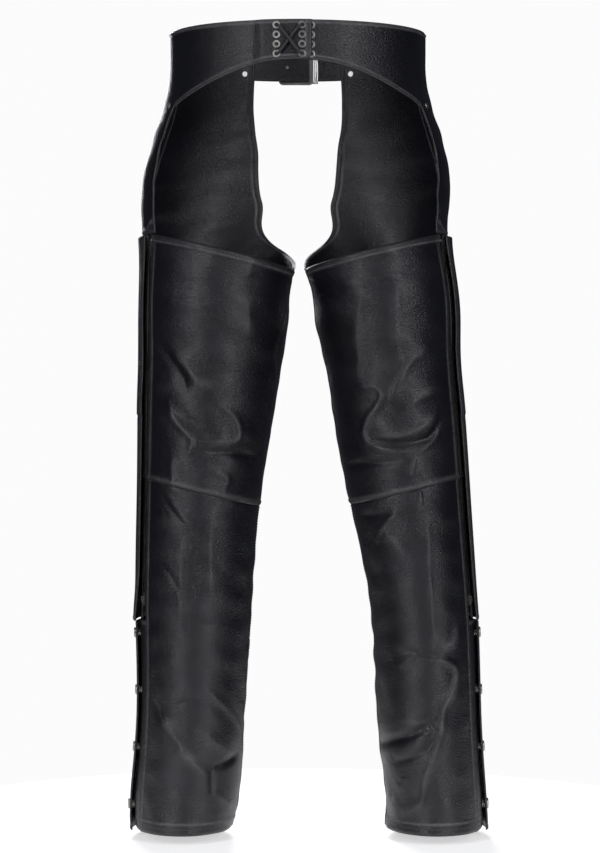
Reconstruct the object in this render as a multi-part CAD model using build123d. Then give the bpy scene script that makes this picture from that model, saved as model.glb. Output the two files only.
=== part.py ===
from build123d import *
from functools import lru_cache
from math import cos, radians, sin, sqrt
import os

# Leather riding chaps, in the shape they hold when worn.
# Millimetres. The origin is the centre of the waist opening, level with the belt's top edge.
# +Z is up, the wearer faces -Y, and the wearer's left is +X.

# ---------------------------------------------------------------- driving sizes
LENGTH = 1027.0             # belt top to hem
WAIST_HALF_WIDTH = 166.0
WAIST_HALF_DEPTH = 126.0
HIP_HALF_WIDTH = 200.0
BAND_HEIGHT = 48.0          # straight band under the belt's top edge
LEATHER = 2.0
LINING = 0.6
SEWN_GAP = 0.1              # air between two layers that are sewn together
CLEARANCE = 0.3             # between pieces that move past each other
LAYER_GAP = 0.4             # between two layers that lie on each other

CROTCH = -304.0             # top of the inner leg seam
SIDE_TOP = -262.0           # top of the zip and of the back thigh panel at the side
KNEE = -589.0               # knee seam at the middle of the leg
SEAM_SLOPE = 0.24           # fall of the back seams, from the outer side to the inner

ZIP_BOTTOM = -752.0
ZIP_HALF_OPENING = 8.0      # zip centre line to a leather edge
TAPE = 0.9
TAPE_WIDTH = 15.0
TAPE_OVERLAP = {"front": 0.3, "back": 1.0}    # of the tape's flat strip and its sewn wing
ROW_THICKNESS = 2.4
ROW_INNER = 0.8             # zip centre line to the tooth tips
ROW_ROOT = 2.4
ROW_OUTER = 3.6
TOOTH_PITCH = 3.6
TOOTH_WIDTH = 1.8
SLIDER_WIDTH = 11.0
SLIDER_LENGTH = 16.0
SLIDER_PLATE = 1.5
SLIDER_REST = -730.0
PULL_LENGTH = 25.0
PULL_WIDTH = 4.4
PULL_THICKNESS = 1.2
PULL_TIP = 0.7              # how far the pull's fork runs past its pin
BAIL_HEIGHT = 2.8
BAIL_BAR = 0.9
BAIL_WIDTH = 2.0
PULL_PIN = 1.3

FLAP = 1.8
FLAP_STANDOFF = 4.3         # leather's outer face to the flap's inner face
FLAP_ROOT = 4.0             # width of the folded root that is sewn down
FLAP_ROOT_GAP = 0.8
STORM_FLAP_END = -756.0
SNAP_FLAP_TOP = -762.0
SNAP_FLAP_ROOT_Y = -51.0
SNAP_FLAP_EDGE_Y = 15.0
UNDERLAP_FRONT_Y = -8.0
SNAP_PITCH = 74.0
SNAP_COUNT = 4
FIRST_SNAP = -775.0
SNAP_Y = 3.0
SNAP_CAP_DIAMETER = 14.0
SNAP_BODY_DIAMETER = 11.0
SNAP_STUD_DIAMETER = 5.0
SHANK_DIAMETER = 3.0

YOKE_SEAM_Y = -40.0         # yoke and front panel meet here
# Lower edge of the yoke behind, from the middle out: (x, height).
YOKE_ARCH = (
    (-40.0, -51.0), (0.0, -50.0), (40.0, -53.5), (85.0, -65.0), (125.0, -83.0),
    (151.0, -100.0), (168.0, -121.0), (180.0, -148.0), (190.0, -180.0),
)
HIP_EDGE_Y = 28.0           # rear edge of the yoke where it runs down the hip
HIP_EDGE_TOP = -40.0
HIP_EDGE_BOTTOM = -215.0
LAP_LEFT_END = -17.5        # free edge of the left yoke, past the middle
LAP_RIGHT_END = 5.0         # end of the right yoke, under the left one
LAP_START = 42.0            # the left yoke steps up here
LAP_RISE = 3.2
EYELET_COUNT = 4
EYELET_PITCH = 12.0
FIRST_EYELET = -7.5
EYELET_DIAMETER = 9.6
EYELET_BORE = 5.2
EYELET_WALL = 0.4
EYELET_FLANGE = 0.8
LEFT_COLUMN = 26.0
MIDDLE_COLUMN = -5.6
RIGHT_COLUMN = -17.0
LACE_DIAMETER = 2.6
LACE_BEND = 2.0
# The lace's way through the eyelets: (column, offset from the band, eyelet from the top).
LACE_ROUTE = (
    (LEFT_COLUMN, -5.0, 3), (LEFT_COLUMN, 6.4, 3), (MIDDLE_COLUMN, 6.4, 0), (MIDDLE_COLUMN, -6.0, 0),
    (LEFT_COLUMN, -6.0, 0), (LEFT_COLUMN, 9.4, 0), (MIDDLE_COLUMN, 9.4, 3), (MIDDLE_COLUMN, -5.0, 3),
)

BELT_THICKNESS = 2.8
BELT_TOP = -5.0
BELT_HEIGHT = 38.0
BELT_START_X = 146.0
BILLET_END_X = -16.0
CHAPE_X = -24.0             # hinge pin of the buckle plate
CHAPE_BORE = 2.3
BUCKLE_PLATE = 1.8
BUCKLE_WIDTH = 47.0
BUCKLE_START = 3.0          # the plate starts past its pin, clear of the strap when it is open
BUCKLE_EAR_REACH = 4.0      # the ears run on under the plate
BUCKLE_HEIGHT = 46.0
PIN_DIAMETER = 4.0
PEG_X = 14.0
PEG_DIAMETER = 4.0
BILLET_HOLE = 5.6
BILLET_HOLE_PITCH = 25.0
BILLET_HOLE_COUNT = 3
RIVET_DIAMETER = 8.0
RIVET_HEIGHT = 1.6
FRONT_PANEL_X = 58.0        # front panel's edge at the belt
# Edge of the front opening, from the belt to the crotch: (x, height).
FRONT_OPENING = ((62.0, -120.0), (50.0, -205.0), (28.0, -265.0), (0.0, -304.0))
BELT_RIVET_X = (72.0, 100.0, 128.0)
BELT_RIVET_RISE = 11.0      # from the belt's middle, up and down
HIP_RIVET_Y = 44.0
HIP_RIVET_HEIGHT = -98.0

SIDES = {"left": 1, "right": -1}

# Straight line of each zip on the outer side: (x at SIDE_TOP, x at ZIP_BOTTOM), as distances
# from the middle. The y values are the same on both sides.
ZIP_X = {"left": (190.0, 198.5), "right": (187.0, 222.5)}
ZIP_Y = (44.0, 34.0)
ZIP_ANGLE = 25.0            # place of the zip round the leg, from the outer side
ZIP_FACING = 22.0           # direction that the leather faces there

# Inner edge of each leg and half depth of the leg, by height. Negative is past the middle.
LEG_HEIGHTS = (-215.0, -305.0, -400.0, -500.0, -610.0, -720.0)
LEG_INNER = {
    "left": (-100.0, 4.0, 17.0, 33.0, 50.0, 59.0),
    "right": (-100.0, 10.0, 30.0, 48.0, 69.0, 92.0),
}
LEG_DEPTH = (119.0, 105.0, 100.0, 94.0, 90.0, 88.0)
# Below the zip: (height, outer, inner, half depth).
SHIN = {
    "left": ((-830.0, 202.5, 66.0, 86.0), (-930.0, 206.0, 72.0, 85.0), (-LENGTH, 209.0, 86.0, 86.0)),
    "right": ((-830.0, 230.5, 101.0, 86.0), (-930.0, 234.5, 108.0, 85.0), (-LENGTH, 239.0, 114.0, 86.0)),
}
MID_LEG_X = {"left": 140.0, "right": 150.0}
FAR = 400.0

os.makedirs("parts", exist_ok=True)


# ---------------------------------------------------------------- the worn shape
def between(z, ends):
    """A value that changes evenly from the zip's top to its bottom."""
    share = (SIDE_TOP - z) / (SIDE_TOP - ZIP_BOTTOM)
    return ends[0] + (ends[1] - ends[0]) * share


def stations(side):
    """(height, centre x, centre y, half width, half depth) of the worn shape, from the top."""
    rows = [
        (0.0, 0.0, 0.0, WAIST_HALF_WIDTH, WAIST_HALF_DEPTH),
        (-BAND_HEIGHT / 2, 0.0, 0.0, WAIST_HALF_WIDTH, WAIST_HALF_DEPTH),
        (-BAND_HEIGHT, 0.0, 0.0, WAIST_HALF_WIDTH, WAIST_HALF_DEPTH),
        (-135.0, 3.0, 0.0, HIP_HALF_WIDTH - 16.0, WAIST_HALF_DEPTH + 3.0),
    ]
    reach = (1 - cos(radians(ZIP_ANGLE))) / 2
    for z, inner, depth in zip(LEG_HEIGHTS, LEG_INNER[side], LEG_DEPTH):
        outer = (between(z, ZIP_X[side]) - reach * inner) / (1 - reach)
        centre_y = between(z, ZIP_Y) - depth * sin(radians(ZIP_ANGLE))
        rows.append((z, (outer + inner) / 2, centre_y, (outer - inner) / 2, depth))
    for z, outer, inner, depth in SHIN[side]:
        rows.append((z, (outer + inner) / 2, 0.0, (outer - inner) / 2, depth))
    return rows


@lru_cache(maxsize=None)
def body(side, offset):
    """The solid inside the worn shape, its faces moved out by offset."""
    wires = []
    for z, x, y, half_width, half_depth in stations(side):
        plane = Plane(origin=(SIDES[side] * x, y, z))
        wires.append(Wire([Edge.make_ellipse(half_width + offset, half_depth + offset, plane)]))
    return Solid.make_loft(wires, ruled=False)


@lru_cache(maxsize=None)
def layer(side, outer, inner):
    """The wall between two offsets of the worn shape."""
    return body(side, outer) - body(side, inner)


def spot(side, y, z):
    """A plane on the outer side of the worn shape at one y and z, facing outwards, its own y up."""
    line = Axis((0, y, z), (SIDES[side], 0, 0))
    found = body(side, 0.0).find_intersection_points(line)
    at, normal = max(found, key=lambda hit: SIDES[side] * hit[0].X)
    if normal.X * SIDES[side] < 0:
        normal = normal * -1
    return Plane(origin=at, x_dir=Vector(0, 0, 1).cross(normal), z_dir=normal)


def band_spot(x, z, offset=0.0, front=False):
    """A plane on the straight waist band at one x and z, facing outwards, its own y up."""
    face = -1 if front else 1
    y = WAIST_HALF_DEPTH * sqrt(1 - (x / WAIST_HALF_WIDTH) ** 2)
    normal = Vector(x / WAIST_HALF_WIDTH**2, face * y / WAIST_HALF_DEPTH**2, 0).normalized()
    at = Vector(x, face * y, z) + normal * offset
    return Plane(origin=at, x_dir=Vector(0, 0, 1).cross(normal), z_dir=normal)


# ---------------------------------------------------------------- cutting outlines
def prism_across(points, side=1, y_range=(-FAR, FAR)):
    """An outline of (x, z) points, seen from behind, run through from y to y."""
    corners = [(side * x, y_range[0], z) for x, z in points]
    face = Face(Wire.make_polygon(corners, close=True))
    return Solid.extrude(face, Vector(0, y_range[1] - y_range[0], 0))


def prism_sideways(points, side, from_x=0.0, to_x=FAR):
    """An outline of (y, z) points, seen from the side, run out from the middle of the leg."""
    corners = [(side * from_x, y, z) for y, z in points]
    face = Face(Wire.make_polygon(corners, close=True))
    return Solid.extrude(face, Vector(side * (to_x - from_x), 0, 0))


def zip_y(z):
    return between(z, ZIP_Y)


def zip_edge(z, distance):
    """The y of a line beside the zip, at a distance to the back of it along the leather."""
    return zip_y(z) + distance * cos(radians(ZIP_ANGLE))


def beside_zip(front_distance, back_distance, top, bottom, side):
    """Everything on the outer side between two lines that run beside the zip."""
    points = [(zip_edge(z, front_distance), z) for z in (top, bottom)]
    points += [(zip_edge(z, back_distance), z) for z in (bottom, top)]
    return prism_sideways(points, SIDES[side], MID_LEG_X[side])


def seam_height(x, height, middle):
    return height + (x - middle) * SEAM_SLOPE


def above_slope(side, height, middle, top=50.0):
    """Everything above a back seam that falls towards the inner leg."""
    low, high = (seam_height(x, height, middle) for x in (-FAR, FAR))
    return prism_across([(-FAR, low), (FAR, high), (FAR, top), (-FAR, top)], SIDES[side])


def below_slope(side, height, middle):
    low, high = (seam_height(x, height, middle) for x in (-FAR, FAR))
    bottom = -LENGTH - 50.0
    return prism_across([(-FAR, low), (FAR, high), (FAR, bottom), (-FAR, bottom)], SIDES[side])


# ---------------------------------------------------------------- leather
def front_half(side, lower_edge_y):
    """In front of the zip on the outer side, and in front of the inner seam on the other."""
    bottom = -LENGTH - 10.0
    outer = [(-FAR, SIDE_TOP), (zip_edge(SIDE_TOP, -ZIP_HALF_OPENING), SIDE_TOP)]
    outer.append((zip_edge(STORM_FLAP_END, -ZIP_HALF_OPENING), STORM_FLAP_END))
    outer += [(lower_edge_y, STORM_FLAP_END), (lower_edge_y, bottom), (-FAR, bottom)]
    inner = [(-FAR, SIDE_TOP), (0.0, SIDE_TOP), (0.0, bottom), (-FAR, bottom)]
    sign = SIDES[side]
    return prism_sideways(outer, sign, MID_LEG_X[side]) + prism_sideways(inner, sign, -FAR, MID_LEG_X[side])


def back_half(side):
    """Behind the zip and the snaps on the outer side, and behind the inner seam on the other."""
    bottom = -LENGTH - 10.0
    edge = zip_edge(STORM_FLAP_END, ZIP_HALF_OPENING)
    outer = [(FAR, -200.0), (zip_edge(SIDE_TOP, ZIP_HALF_OPENING), -200.0), (edge, STORM_FLAP_END)]
    outer += [(edge, bottom), (FAR, bottom)]
    inner = [(FAR, -200.0), (0.0, -200.0), (0.0, bottom), (FAR, bottom)]
    sign = SIDES[side]
    return prism_sideways(outer, sign, MID_LEG_X[side]) + prism_sideways(inner, sign, -FAR, MID_LEG_X[side])


def front_thigh(side):
    sign = SIDES[side]
    wall = layer(side, 0.0, -LEATHER)
    upper = prism_across([(0, SIDE_TOP), (FAR, SIDE_TOP), (FAR, 1), (0, 1)], sign, (-FAR, YOKE_SEAM_Y))
    opening_edge = [(FRONT_PANEL_X, 10.0), (FRONT_PANEL_X, -BAND_HEIGHT), *FRONT_OPENING]
    opening = prism_across(opening_edge + [(-FAR, CROTCH), (-FAR, 10.0)], sign, (-FAR, 0.5))
    panel = wall & (upper + front_half(side, UNDERLAP_FRONT_Y))
    return panel - opening & above_slope(side, KNEE, MID_LEG_X[side])


def front_shin(side):
    wall = layer(side, 0.0, -LEATHER)
    return wall & front_half(side, UNDERLAP_FRONT_Y) & below_slope(side, KNEE, MID_LEG_X[side])


def back_thigh(side):
    top = seam_height(MID_LEG_X[side], SIDE_TOP, between(SIDE_TOP, ZIP_X[side]))
    wall = layer(side, 0.0, -LEATHER) & back_half(side) & below_slope(side, top, MID_LEG_X[side])
    return wall & above_slope(side, KNEE, MID_LEG_X[side])


def back_calf(side):
    return layer(side, 0.0, -LEATHER) & back_half(side) & below_slope(side, KNEE, MID_LEG_X[side])


def snap_underlap(side):
    edge = zip_edge(STORM_FLAP_END, ZIP_HALF_OPENING)
    bottom = -LENGTH - 10.0
    outline = [(UNDERLAP_FRONT_Y, STORM_FLAP_END), (edge, STORM_FLAP_END), (edge, bottom)]
    outline.append((UNDERLAP_FRONT_Y, bottom))
    return layer(side, 0.0, -LEATHER) & prism_sideways(outline, SIDES[side], MID_LEG_X[side])


def thigh_lining(side):
    """The lining of the thigh, from below the crotch to above the knee, open at the zip."""
    top, bottom = CROTCH - 12.0, KNEE + 45.0
    cut = Pos(0, 0, (top + bottom) / 2) * Box(2 * FAR, 2 * FAR, top - bottom)
    tape = beside_zip(-TAPE_WIDTH - 1.0, TAPE_WIDTH + 1.0, top + 20.0, bottom - 20.0, side)
    outer_face = -LEATHER - SEWN_GAP
    return (layer(side, outer_face, outer_face - LINING) & cut) - tape


def yoke(side):
    """The back yoke, narrow behind and deep at the hip."""
    sign = SIDES[side]
    rear = prism_across([(-FAR, SIDE_TOP), (FAR, SIDE_TOP), (FAR, 1), (-FAR, 1)], sign, (YOKE_SEAM_Y, FAR))
    middle, hip = YOKE_ARCH[0][1], YOKE_ARCH[-1][1]
    arch = [(-FAR, middle), *YOKE_ARCH, (FAR, hip - 2.0)]
    arch_tool = prism_across(arch + [(FAR, -300.0), (-FAR, -300.0)], sign, (0.0, FAR))
    hip_edge = [(HIP_EDGE_Y, HIP_EDGE_TOP), (HIP_EDGE_Y, HIP_EDGE_BOTTOM), (zip_y(SIDE_TOP), SIDE_TOP - 1.0)]
    behind_hip = prism_sideways(hip_edge + [(FAR, SIDE_TOP - 1.0), (FAR, HIP_EDGE_TOP)], 1, -FAR, FAR)
    keep = rear - (arch_tool & behind_hip)
    end = LAP_START if side == "left" else LAP_RIGHT_END
    panel = layer(side, 0.0, -LEATHER) & keep & strip_of_band(-FAR if sign < 0 else end, end if sign < 0 else FAR)
    if side == "left":
        raised = layer(side, LAP_RISE, LAP_RISE - LEATHER) & keep & strip_of_band(LAP_LEFT_END, LAP_START)
        corner = Pos(LAP_LEFT_END, 0, -51.0) * Box(20.0, 2 * FAR, 20.0)
        round_off = Pos(LAP_LEFT_END + 10.0, 0, -41.0) * Rot(90, 0, 0) * Cylinder(10.0, 2 * FAR)
        raised = raised - (corner - round_off)
        step = layer(side, LAP_RISE, -LEATHER) & keep & strip_of_band(LAP_START, LAP_START + 3.0)
        panel = panel - strip_of_band(LAP_START, LAP_START + 3.0) + step + raised
        columns = (LEFT_COLUMN, MIDDLE_COLUMN)
    else:
        columns = (MIDDLE_COLUMN, RIGHT_COLUMN)
    return set_in(panel, *[lace_holes(x, EYELET_BORE + 2 * EYELET_WALL) for x in columns])


def strip_of_band(from_x, to_x):
    """The back half of the space, from one x to another."""
    return Pos((from_x + to_x) / 2, FAR / 2, 0) * Box(abs(to_x - from_x), FAR + 90.0, 2 * FAR)


def eyelet_heights():
    return [FIRST_EYELET - EYELET_PITCH * i for i in range(EYELET_COUNT)]


def lace_holes(x, diameter):
    return [band_spot(x, z) * Cylinder(diameter / 2, 20.0) for z in eyelet_heights()]


def flap(side, root_y, edge_y, top, bottom):
    """A flap that stands off the leather, with a folded root. root_y and edge_y give a y by height."""
    sign = SIDES[side]
    outline = [(root_y(top), top), (edge_y(top), top), (edge_y(bottom), bottom), (root_y(bottom), bottom)]
    sheet = layer(side, FLAP_STANDOFF + FLAP, FLAP_STANDOFF) & prism_sideways(outline, sign, MID_LEG_X[side])
    fold = [(root_y(top), top), (root_y(top) + FLAP_ROOT, top)]
    fold += [(root_y(bottom) + FLAP_ROOT, bottom), (root_y(bottom), bottom)]
    root = layer(side, FLAP_STANDOFF + FLAP, FLAP_ROOT_GAP) & prism_sideways(fold, sign, MID_LEG_X[side])
    return sheet + root


def storm_flap(side):
    edge = PULL_WIDTH / 2 + 1.0
    return flap(side, lambda z: -zip_y(z), lambda z: zip_edge(z, -edge), SIDE_TOP - 2.0, STORM_FLAP_END)


def snap_flap(side):
    return flap(side, lambda z: SNAP_FLAP_ROOT_Y, lambda z: SNAP_FLAP_EDGE_Y, SNAP_FLAP_TOP, -LENGTH)


# ---------------------------------------------------------------- snaps
def snap_planes(side):
    heights = [FIRST_SNAP - SNAP_PITCH * i for i in range(SNAP_COUNT)]
    return [spot(side, SNAP_Y, z) for z in heights]


def disc(diameter, low, high):
    return Pos(0, 0, (low + high) / 2) * Cylinder(diameter / 2, high - low)


def snap_caps(side):
    outer = FLAP_STANDOFF + FLAP
    dome = fillet(disc(SNAP_CAP_DIAMETER, outer, outer + 2.2).edges().sort_by(Axis.Z)[-1], 1.6)
    cap = dome + disc(SHANK_DIAMETER, FLAP_STANDOFF - 0.4, outer + 0.5)
    return [plane * cap for plane in snap_planes(side)]


def snap_sockets(side):
    top = FLAP_STANDOFF - 0.4
    ring = disc(SNAP_BODY_DIAMETER, top - 1.9, top) - disc(SNAP_STUD_DIAMETER + 1.0, top - 1.9, top - 0.5)
    return [plane * ring for plane in snap_planes(side)]


def snap_studs(side):
    stud = disc(SNAP_BODY_DIAMETER, 0.0, 0.8) + disc(SNAP_STUD_DIAMETER, 0.8, 3.0)
    stud = fillet(stud.edges().sort_by(Axis.Z)[-1], 0.6)
    return [plane * (stud + disc(SHANK_DIAMETER, -LEATHER - 0.2, 0.0)) for plane in snap_planes(side)]


def snap_posts(side):
    return [plane * disc(9.0, -LEATHER - 1.0, -LEATHER - 0.2) for plane in snap_planes(side)]


# ---------------------------------------------------------------- zip
def zip_point(side, z):
    return Vector(SIDES[side] * between(z, ZIP_X[side]), zip_y(z), z)


def zip_plane(side, z=ZIP_BOTTOM):
    """On the tape's middle layer at the zip line: x along the leather, y up the zip, z outwards."""
    up = (zip_point(side, SIDE_TOP) - zip_point(side, ZIP_BOTTOM)).normalized()
    angle = radians(ZIP_FACING)
    rough = Vector(SIDES[side] * cos(angle), sin(angle), 0)
    normal = (rough - up * rough.dot(up)).normalized()
    origin = zip_point(side, z) - normal * (LEATHER + SEWN_GAP + TAPE / 2)
    return Plane(origin=origin, x_dir=up.cross(normal), z_dir=normal)


def zip_length():
    ends = zip_point("left", SIDE_TOP - 6.0), zip_point("left", ZIP_BOTTOM)
    return (ends[0] - ends[1]).length


def toward(side, edge):
    """Which way a half of the zip lies from its centre line, in the zip's own plane."""
    return SIDES[side] if edge == "back" else -SIDES[side]


def zip_teeth(side, edge):
    """One row of teeth on its bead, a comb cut from one strip."""
    way = toward(side, edge)
    count = int(zip_length() / TOOTH_PITCH)
    points = [(ROW_OUTER, 0.0), (ROW_ROOT, 0.0)]
    for i in range(count):
        start = (i + 0.25) * TOOTH_PITCH
        points += [(ROW_ROOT, start), (ROW_INNER, start)]
        points += [(ROW_INNER, start + TOOTH_WIDTH), (ROW_ROOT, start + TOOTH_WIDTH)]
    points += [(ROW_ROOT, count * TOOTH_PITCH), (ROW_OUTER, count * TOOTH_PITCH)]
    corners = [(way * x, y, -ROW_THICKNESS / 2) for x, y in points]
    face = Face(Wire.make_polygon(corners, close=True))
    row = Solid.extrude(face, Vector(0, 0, ROW_THICKNESS))
    return zip_plane(side) * row


def zip_tape(side, edge):
    """The tape's flat strip beside the teeth, and the wing that is sewn under the leather."""
    way = toward(side, edge)
    flat_edge = ZIP_HALF_OPENING - 0.5
    length = zip_length()
    strip = Box(flat_edge - ROW_OUTER, length, TAPE)
    strip = zip_plane(side) * Pos(way * (ROW_OUTER + flat_edge) / 2, length / 2, 0) * strip
    sign = 1 if edge == "back" else -1
    near, far = sorted((sign * (flat_edge - TAPE_OVERLAP[edge]), sign * TAPE_WIDTH))
    wing = beside_zip(near, far, SIDE_TOP - 8.0, ZIP_BOTTOM + 1.0, side)
    outer_face = -LEATHER - SEWN_GAP
    slider_path = Box(SLIDER_WIDTH + 2 * CLEARANCE, 2 * length, 2 * slider_face() + 2 * CLEARANCE)
    wing = (layer(side, outer_face, outer_face - TAPE) & wing) - zip_plane(side) * slider_path
    return (strip & body(side, outer_face)) + wing


def zip_stops(side, z):
    """A crimp round each row of teeth, past the slider's travel."""
    crimp = Box(ROW_OUTER - ROW_INNER + 1.2, 4.0, ROW_THICKNESS + 1.2)
    gap = Box(2 * ROW_OUTER, 6.0, ROW_THICKNESS)
    pair = []
    for way in (-1, 1):
        piece = Pos(way * (ROW_OUTER + ROW_INNER - 0.6) / 2, 0, 0) * crimp
        pair.append(zip_plane(side, z) * (piece - Pos(way * (ROW_INNER + ROW_OUTER), 0, 0) * gap))
    return pair


def slider(side):
    half = ROW_THICKNESS / 2 + CLEARANCE
    plate = Box(SLIDER_WIDTH, SLIDER_LENGTH, SLIDER_PLATE)
    plate = fillet(plate.edges().filter_by(Axis.Z), 3.0)
    top = Pos(0, 0, half + SLIDER_PLATE / 2) * plate
    bottom = Pos(0, 0, -half - SLIDER_PLATE / 2) * plate
    lip_height = half - TAPE / 2 - CLEARANCE - 0.05
    lip_width = SLIDER_WIDTH / 2 - ROW_OUTER - 0.6
    shape = top + bottom
    for x in (-1, 1):
        for z in (-1, 1):
            lip = Box(lip_width, SLIDER_LENGTH - 7.0, lip_height)
            at = Pos(x * (SLIDER_WIDTH - lip_width) / 2, 0, z * (half - lip_height / 2))
            shape = shape + at * lip
    bridge_width = 2 * (ROW_INNER - CLEARANCE)
    bridge = Pos(0, -SLIDER_LENGTH / 2 + 3.0, 0) * Box(bridge_width, 4.0, 2 * half + 0.2)
    return zip_plane(side, SLIDER_REST) * (shape + bridge)


def slider_face():
    return ROW_THICKNESS / 2 + CLEARANCE + SLIDER_PLATE


def zip_bail(side):
    face = slider_face()
    block = Pos(0, 0, face + BAIL_HEIGHT / 2) * Box(BAIL_WIDTH, 7.2, BAIL_HEIGHT)
    hole = Pos(0, 0, face + (BAIL_HEIGHT - BAIL_BAR) / 2) * Box(BAIL_WIDTH * 2, 4.8, BAIL_HEIGHT - BAIL_BAR)
    return zip_plane(side, SLIDER_REST) * (block - hole)


def pull_axis_height():
    return slider_face() + (BAIL_HEIGHT - BAIL_BAR) / 2


def zip_pull(side):
    """A straight bar with a forked top, whose pin passes under the bail."""
    bar = Box(PULL_WIDTH, PULL_LENGTH, PULL_THICKNESS)
    bar = Pos(0, -PULL_LENGTH / 2 + PULL_TIP, 0) * fillet(bar.edges().filter_by(Axis.Z), 0.8)
    slot = Pos(0, -2.0, 0) * Box(BAIL_WIDTH + 0.8, 6.8, PULL_THICKNESS * 2)
    grip = Pos(0, -PULL_LENGTH + 4.5, 0) * Cylinder(0.9, PULL_THICKNESS * 2)
    pin = Rot(0, 90, 0) * Cylinder(PULL_PIN / 2, PULL_WIDTH - 0.2)
    return zip_plane(side, SLIDER_REST) * Pos(0, 0, pull_axis_height()) * (bar - slot - grip + pin)


# ---------------------------------------------------------------- lacing
def eyelet(outer_face, thickness):
    """A flanged tube through one layer, seen from outside."""
    tube = disc(EYELET_BORE + 2 * EYELET_WALL, outer_face - thickness - 0.3, outer_face)
    flange = disc(EYELET_DIAMETER, outer_face, outer_face + EYELET_FLANGE)
    flange = fillet(flange.edges().sort_by(Axis.Z)[-1], 0.5)
    bore = disc(EYELET_BORE, outer_face - thickness - 1.0, outer_face + 2.0)
    return tube + flange - bore


def eyelets(side):
    if side == "left":
        piece = eyelet(LAP_RISE, LEATHER)
        return [band_spot(x, z) * piece for x in (LEFT_COLUMN, MIDDLE_COLUMN) for z in eyelet_heights()]
    piece = eyelet(0.0, LEATHER)
    return [band_spot(RIGHT_COLUMN, z) * piece for z in eyelet_heights()]


def eyelet_washers(side):
    """The washer that each eyelet is set against, inside the yoke. The left ones lie between
    the layers, so they are thin."""
    columns = (LEFT_COLUMN, MIDDLE_COLUMN) if side == "left" else (RIGHT_COLUMN,)
    inner_face = LAP_RISE - LEATHER if side == "left" else -LEATHER
    bore = EYELET_BORE + 2 * EYELET_WALL
    ring = disc(EYELET_DIAMETER - 1.0, inner_face - SEWN_GAP - 0.4, inner_face - SEWN_GAP - 0.1)
    ring = ring - disc(bore, inner_face - 1.0, inner_face + 1.0)
    return [band_spot(x, z) * ring for x in columns for z in eyelet_heights()]


def lace():
    """One lace, crossed once over the middle, that ties the lapped yokes through their eyelets."""
    heights = eyelet_heights()
    points = []
    for x, offset, row in LACE_ROUTE:
        points.append(band_spot(x, heights[row], offset).origin)
    path = FilletPolyline(*points, radius=LACE_BEND)
    start = Plane(origin=path @ 0, z_dir=path % 0)
    return sweep(start * Circle(LACE_DIAMETER / 2), path)


# ---------------------------------------------------------------- front belt and buckle
def belt_curve(offset, from_x, to_x, count=9):
    """Points of the belt's line in plan, a constant offset off the waist band, in front."""
    points = []
    for i in range(count):
        x = from_x + (to_x - from_x) * i / (count - 1)
        points.append(band_spot(x, BELT_TOP, offset, front=True).origin)
    return points


def belt_ribbon(from_x, to_x):
    near = belt_curve(LAYER_GAP, from_x, to_x)
    far = belt_curve(LAYER_GAP + BELT_THICKNESS, from_x, to_x)
    edges = [Edge.make_spline(near), Edge.make_line(near[-1], far[-1])]
    edges += [Edge.make_spline(far[::-1]), Edge.make_line(far[0], near[0])]
    return Solid.extrude(Face(Wire(edges)), Vector(0, 0, -BELT_HEIGHT))


def belt_middle():
    return BELT_TOP - BELT_HEIGHT / 2


def belt_rivet_planes(side):
    sign = SIDES[side]
    rises = (-BELT_RIVET_RISE, BELT_RIVET_RISE)
    spots = [(sign * x, belt_middle() + rise) for x in BELT_RIVET_X for rise in rises]
    return [band_spot(x, z, 0.0, front=True) for x, z in spots]


def belt_rivet_holes(side):
    return [plane * Cylinder(SHANK_DIAMETER / 2, 20.0) for plane in belt_rivet_planes(side)]


def chape_spot():
    """On the hinge pin, facing straight forward, its own y up."""
    at = band_spot(CHAPE_X, belt_middle(), LAYER_GAP + BELT_THICKNESS / 2, front=True).origin
    return Plane(origin=at, x_dir=(1, 0, 0), z_dir=(0, -1, 0))


def belt_strap(side):
    if side == "left":
        strap = belt_ribbon(BELT_START_X, BILLET_END_X)
        for i in range(BILLET_HOLE_COUNT):
            at = band_spot(PEG_X + BILLET_HOLE_PITCH * i, belt_middle(), 0.0, front=True)
            strap = strap - at * Cylinder(BILLET_HOLE / 2, 20.0)
    else:
        strap = belt_ribbon(-BELT_START_X, CHAPE_X - CHAPE_BORE)
        loop = Cylinder(CHAPE_BORE + BELT_THICKNESS * 0.8, BELT_HEIGHT) - Cylinder(CHAPE_BORE, BELT_HEIGHT)
        at = chape_spot().origin
        centre = Pos(at.X, at.Y, at.Z)
        strap = (strap - centre * Cylinder(CHAPE_BORE, BELT_HEIGHT + 2.0)) + centre * loop
    return strap


def rivet(outer_face, inner_face):
    """A domed head outside, a shank through the layers and a flat head inside."""
    head = disc(RIVET_DIAMETER, outer_face, outer_face + RIVET_HEIGHT)
    head = fillet(head.edges().sort_by(Axis.Z)[-1], RIVET_HEIGHT * 0.7)
    shank = disc(SHANK_DIAMETER, inner_face - 0.5, outer_face)
    return head + shank + disc(RIVET_DIAMETER - 1.0, inner_face - 1.2, inner_face - 0.2)


def belt_rivets(side):
    piece = rivet(LAYER_GAP + BELT_THICKNESS + SEWN_GAP / 2, -LEATHER)
    return [plane * piece for plane in belt_rivet_planes(side)]


def hip_plane(side):
    return spot(side, HIP_RIVET_Y, HIP_RIVET_HEIGHT)


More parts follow.
